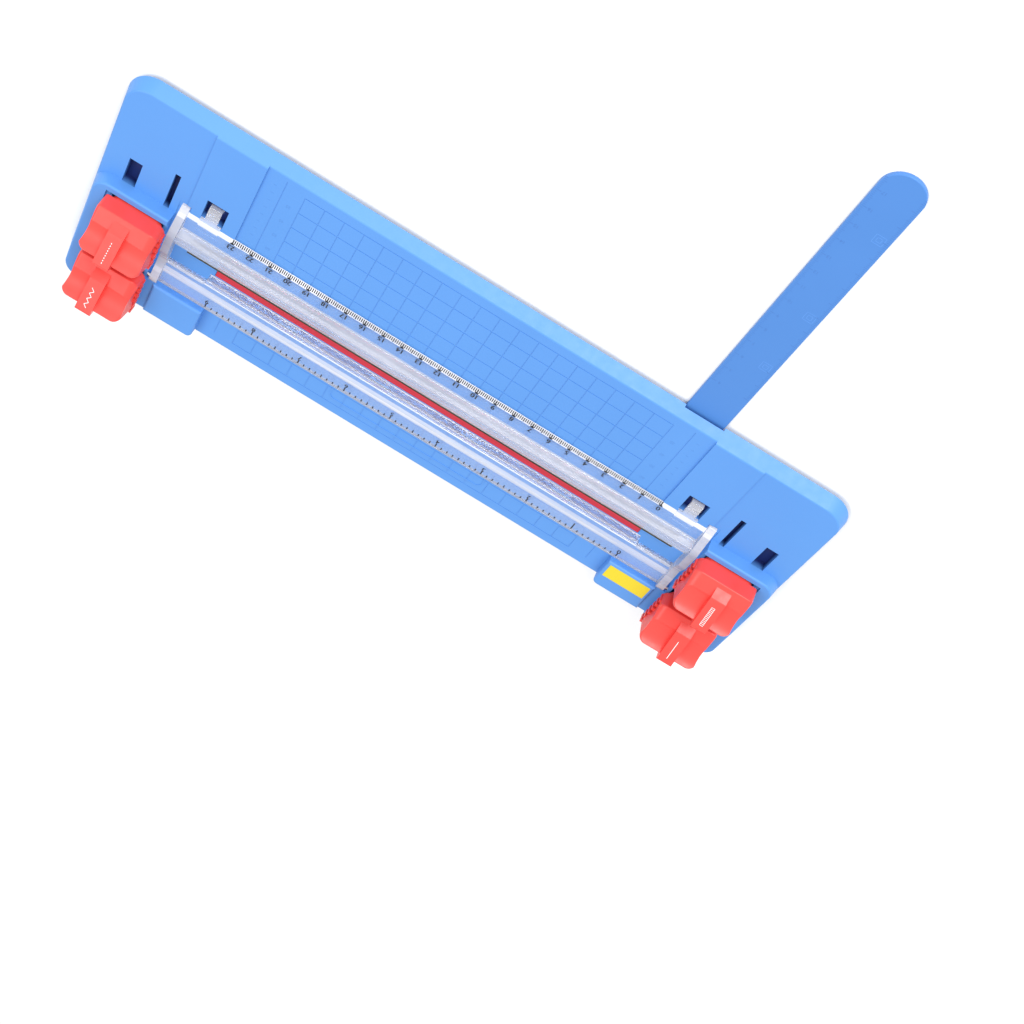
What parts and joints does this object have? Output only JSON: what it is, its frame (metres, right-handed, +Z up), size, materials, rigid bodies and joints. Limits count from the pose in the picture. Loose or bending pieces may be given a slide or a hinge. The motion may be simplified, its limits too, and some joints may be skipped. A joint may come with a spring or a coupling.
{
  "type": "rotary paper trimmer",
  "caption": "Rotary paper trimmer: flat gridded base, hinged clear ruler rail over a cutting mat, press-down cutting heads parked in end docks and a swing-out ruler arm.",
  "frame": {"origin": "on the table plane, under the middle of the base's footprint", "axes": "+X to the user's right along the rail, +Y away from the user, +Z up"},
  "size_m": [0.372, 0.2924, 0.0387],
  "materials": {
    "blue_plastic": "satin moulded plastic",
    "foot_rubber": "matt rubber",
    "red_mat": "soft matt plastic",
    "yellow_label": "printed sticker, left blank",
    "hinge_steel": "drawn steel pin",
    "clear_plastic": "clear injection-moulded styrene, glossy",
    "strip_steel": "dull steel strip",
    "arm_plastic": "satin moulded plastic",
    "screw_steel": "zinc-plated steel",
    "red_plastic": "satin moulded plastic",
    "carriage_plastic": "off-white acetal",
    "axle_steel": "ground steel",
    "spring_steel": "spring wire",
    "blade_steel": "ground tool steel",
    "creaser_plastic": "smooth hard plastic"
  },
  "bodies": {
    "base": {"base_shell": "blue_plastic", "rubber_feet": "foot_rubber", "cutting_mat": "red_mat", "plain_label": "yellow_label", "rail_hinge_pins": "hinge_steel", "arm_pivot_screw": "screw_steel"},
    "rail": {"clear_rail": "clear_plastic", "slot_guard_strip": "strip_steel"},
    "arm": {"ruler_arm": "arm_plastic"},
    "perforating_carriage": {"perforating_head_carriage": "carriage_plastic", "perforating_head_springs": "spring_steel"},
    "perforating_cover": {"perforating_head_cover": "red_plastic", "perforating_head_axle": "axle_steel"},
    "perforating_wheel": {"perforating_head_wheel": "blade_steel"},
    "wavy_carriage": {"wavy_head_carriage": "carriage_plastic", "wavy_head_springs": "spring_steel"},
    "wavy_cover": {"wavy_head_cover": "red_plastic", "wavy_head_axle": "axle_steel"},
    "wavy_wheel": {"wavy_head_wheel": "blade_steel"},
    "creasing_carriage": {"creasing_head_carriage": "carriage_plastic", "creasing_head_springs": "spring_steel"},
    "creasing_cover": {"creasing_head_cover": "red_plastic", "creasing_head_axle": "axle_steel"},
    "creasing_wheel": {"creasing_head_wheel": "creaser_plastic"},
    "straight_carriage": {"straight_head_carriage": "carriage_plastic", "straight_head_springs": "spring_steel"},
    "straight_cover": {"straight_head_cover": "red_plastic", "straight_head_axle": "axle_steel"},
    "straight_wheel": {"straight_head_wheel": "blade_steel"}
  },
  "joints": [
    {"name": "rail_lift", "type": "hinge", "parent": "base", "child": "rail", "pos_m": [0, 0.03805, 0.013], "axis": [-1, 0, 0], "range_deg": [0, 80]},
    {"name": "arm_swing", "type": "hinge", "parent": "base", "child": "arm", "pos_m": [-0.105, -0.04535, 0.0013], "axis": [0, 0, 1], "range_deg": [0, 90]},
    {"name": "perforating_head_lift", "type": "slide", "parent": "base", "child": "perforating_carriage", "axis": [0, 0, 1], "range_m": [0, 0.03]},
    {"name": "perforating_press", "type": "slide", "parent": "perforating_carriage", "child": "perforating_cover", "axis": [0, 0, -1], "range_m": [0, 0.002], "stiffness_N_per_m": 400, "springref_m": -0.001, "deforming": ["perforating_head_springs"]},
    {"name": "perforating_wheel_spin", "type": "hinge", "parent": "perforating_cover", "child": "perforating_wheel", "pos_m": [0.1595, 0.01425, 0.0193], "axis": [1, 0, 0], "continuous": true},
    {"name": "wavy_head_lift", "type": "slide", "parent": "base", "child": "wavy_carriage", "axis": [0, 0, 1], "range_m": [0, 0.03]},
    {"name": "wavy_press", "type": "slide", "parent": "wavy_carriage", "child": "wavy_cover", "axis": [0, 0, -1], "range_m": [0, 0.002], "stiffness_N_per_m": 400, "springref_m": -0.001, "deforming": ["wavy_head_springs"]},
    {"name": "wavy_wheel_spin", "type": "hinge", "parent": "wavy_cover", "child": "wavy_wheel", "pos_m": [0.1595, 0.04875, 0.0193], "axis": [1, 0, 0], "continuous": true},
    {"name": "creasing_head_lift", "type": "slide", "parent": "base", "child": "creasing_carriage", "axis": [0, 0, 1], "range_m": [0, 0.03]},
    {"name": "creasing_press", "type": "slide", "parent": "creasing_carriage", "child": "creasing_cover", "axis": [0, 0, -1], "range_m": [0, 0.002], "stiffness_N_per_m": 400, "springref_m": -0.001, "deforming": ["creasing_head_springs"]},
    {"name": "creasing_wheel_spin", "type": "hinge", "parent": "creasing_cover", "child": "creasing_wheel", "pos_m": [-0.1595, 0.01425, 0.0193], "axis": [1, 0, 0], "continuous": true},
    {"name": "straight_head_lift", "type": "slide", "parent": "base", "child": "straight_carriage", "axis": [0, 0, 1], "range_m": [0, 0.03]},
    {"name": "straight_press", "type": "slide", "parent": "straight_carriage", "child": "straight_cover", "axis": [0, 0, -1], "range_m": [0, 0.002], "stiffness_N_per_m": 400, "springref_m": -0.001, "deforming": ["straight_head_springs"]},
    {"name": "straight_wheel_spin", "type": "hinge", "parent": "straight_cover", "child": "straight_wheel", "pos_m": [-0.1595, 0.04875, 0.0193], "axis": [1, 0, 0], "continuous": true}
  ]
}
